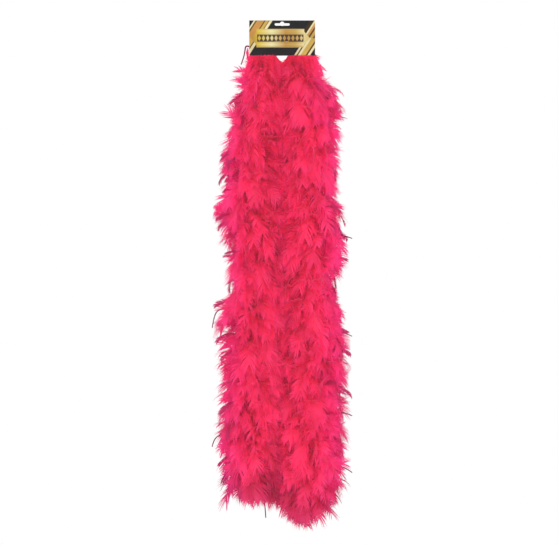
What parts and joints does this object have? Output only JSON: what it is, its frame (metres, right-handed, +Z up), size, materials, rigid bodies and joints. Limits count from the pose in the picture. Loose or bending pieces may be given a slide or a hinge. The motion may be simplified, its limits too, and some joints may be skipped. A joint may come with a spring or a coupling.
{
  "type": "feather boa",
  "caption": "Fluffy pink feather boa folded in half over its cord, hanging from a folded header card with a hang slot.",
  "frame": {"origin": "where a display peg bears: the top of the hang slot's dome, on the card's middle line and midway through its doubled board", "axes": "+Z up against the hang, +X along the card's width to the right of its face, -Y the way the card's face looks"},
  "size_m": [0.235, 0.117, 0.9522],
  "materials": {
    "board": "gloss",
    "staple_wire": "satin",
    "cord": "matte",
    "thread": "matte",
    "feathers": "matte"
  },
  "bodies": {
    "card": {"header_card": "board", "staples": "staple_wire", "fold_cord": "cord", "fold_binding": "thread", "fold_feathers": "feathers"},
    "left_neck": {"left_neck_cord": "cord"},
    "left_1": {"left_cord_1": "cord", "left_binding_1": "thread", "left_feathers_1": "feathers"},
    "left_2": {"left_cord_2": "cord", "left_binding_2": "thread", "left_feathers_2": "feathers"},
    "left_3": {"left_cord_3": "cord", "left_binding_3": "thread", "left_feathers_3": "feathers"},
    "left_4": {"left_cord_4": "cord", "left_binding_4": "thread", "left_feathers_4": "feathers"},
    "left_5": {"left_cord_5": "cord", "left_binding_5": "thread", "left_feathers_5": "feathers"},
    "left_6": {"left_cord_6": "cord", "left_binding_6": "thread", "left_feathers_6": "feathers"},
    "left_7": {"left_cord_7": "cord", "left_binding_7": "thread", "left_feathers_7": "feathers", "left_end_knot": "cord"},
    "right_neck": {"right_neck_cord": "cord"},
    "right_1": {"right_cord_1": "cord", "right_binding_1": "thread", "right_feathers_1": "feathers"},
    "right_2": {"right_cord_2": "cord", "right_binding_2": "thread", "right_feathers_2": "feathers"},
    "right_3": {"right_cord_3": "cord", "right_binding_3": "thread", "right_feathers_3": "feathers"},
    "right_4": {"right_cord_4": "cord", "right_binding_4": "thread", "right_feathers_4": "feathers"},
    "right_5": {"right_cord_5": "cord", "right_binding_5": "thread", "right_feathers_5": "feathers"},
    "right_6": {"right_cord_6": "cord", "right_binding_6": "thread", "right_feathers_6": "feathers"},
    "right_7": {"right_cord_7": "cord", "right_binding_7": "thread", "right_feathers_7": "feathers", "right_end_knot": "cord"}
  },
  "joints": [
    {"name": "left_splay_0", "type": "hinge", "parent": "card", "child": "left_neck", "pos_m": [-0.029, 0.0026, -0.07], "axis": [0, 1, 0], "range_deg": [0, 30]},
    {"name": "left_swing_1", "type": "hinge", "parent": "left_neck", "child": "left_1", "pos_m": [-0.03203, 0.0026, -0.08161], "axis": [1, 0, 0], "range_deg": [-30, 30]},
    {"name": "left_splay_2", "type": "hinge", "parent": "left_1", "child": "left_2", "pos_m": [-0.059, 0.0026, -0.185], "axis": [0, 1, 0], "range_deg": [0, 30]},
    {"name": "left_swing_3", "type": "hinge", "parent": "left_2", "child": "left_3", "pos_m": [-0.059, 0.0026, -0.305], "axis": [1, 0, 0], "range_deg": [-30, 30]},
    {"name": "left_splay_4", "type": "hinge", "parent": "left_3", "child": "left_4", "pos_m": [-0.059, 0.0026, -0.425], "axis": [0, 1, 0], "range_deg": [0, 30]},
    {"name": "left_swing_5", "type": "hinge", "parent": "left_4", "child": "left_5", "pos_m": [-0.059, 0.0026, -0.545], "axis": [1, 0, 0], "range_deg": [-30, 30]},
    {"name": "left_splay_6", "type": "hinge", "parent": "left_5", "child": "left_6", "pos_m": [-0.059, 0.0026, -0.665], "axis": [0, 1, 0], "range_deg": [0, 30]},
    {"name": "left_swing_7", "type": "hinge", "parent": "left_6", "child": "left_7", "pos_m": [-0.059, 0.0026, -0.785], "axis": [1, 0, 0], "range_deg": [-30, 30]},
    {"name": "right_splay_0", "type": "hinge", "parent": "card", "child": "right_neck", "pos_m": [0.029, 0.0026, -0.07], "axis": [0, -1, 0], "range_deg": [0, 30]},
    {"name": "right_swing_1", "type": "hinge", "parent": "right_neck", "child": "right_1", "pos_m": [0.03203, 0.0026, -0.08161], "axis": [1, 0, 0], "range_deg": [-30, 30]},
    {"name": "right_splay_2", "type": "hinge", "parent": "right_1", "child": "right_2", "pos_m": [0.059, 0.0026, -0.185], "axis": [0, -1, 0], "range_deg": [0, 30]},
    {"name": "right_swing_3", "type": "hinge", "parent": "right_2", "child": "right_3", "pos_m": [0.059, 0.0026, -0.305], "axis": [1, 0, 0], "range_deg": [-30, 30]},
    {"name": "right_splay_4", "type": "hinge", "parent": "right_3", "child": "right_4", "pos_m": [0.059, 0.0026, -0.425], "axis": [0, -1, 0], "range_deg": [0, 30]},
    {"name": "right_swing_5", "type": "hinge", "parent": "right_4", "child": "right_5", "pos_m": [0.059, 0.0026, -0.545], "axis": [1, 0, 0], "range_deg": [-30, 30]},
    {"name": "right_splay_6", "type": "hinge", "parent": "right_5", "child": "right_6", "pos_m": [0.059, 0.0026, -0.665], "axis": [0, -1, 0], "range_deg": [0, 30]},
    {"name": "right_swing_7", "type": "hinge", "parent": "right_6", "child": "right_7", "pos_m": [0.059, 0.0026, -0.785], "axis": [1, 0, 0], "range_deg": [-30, 30]}
  ]
}
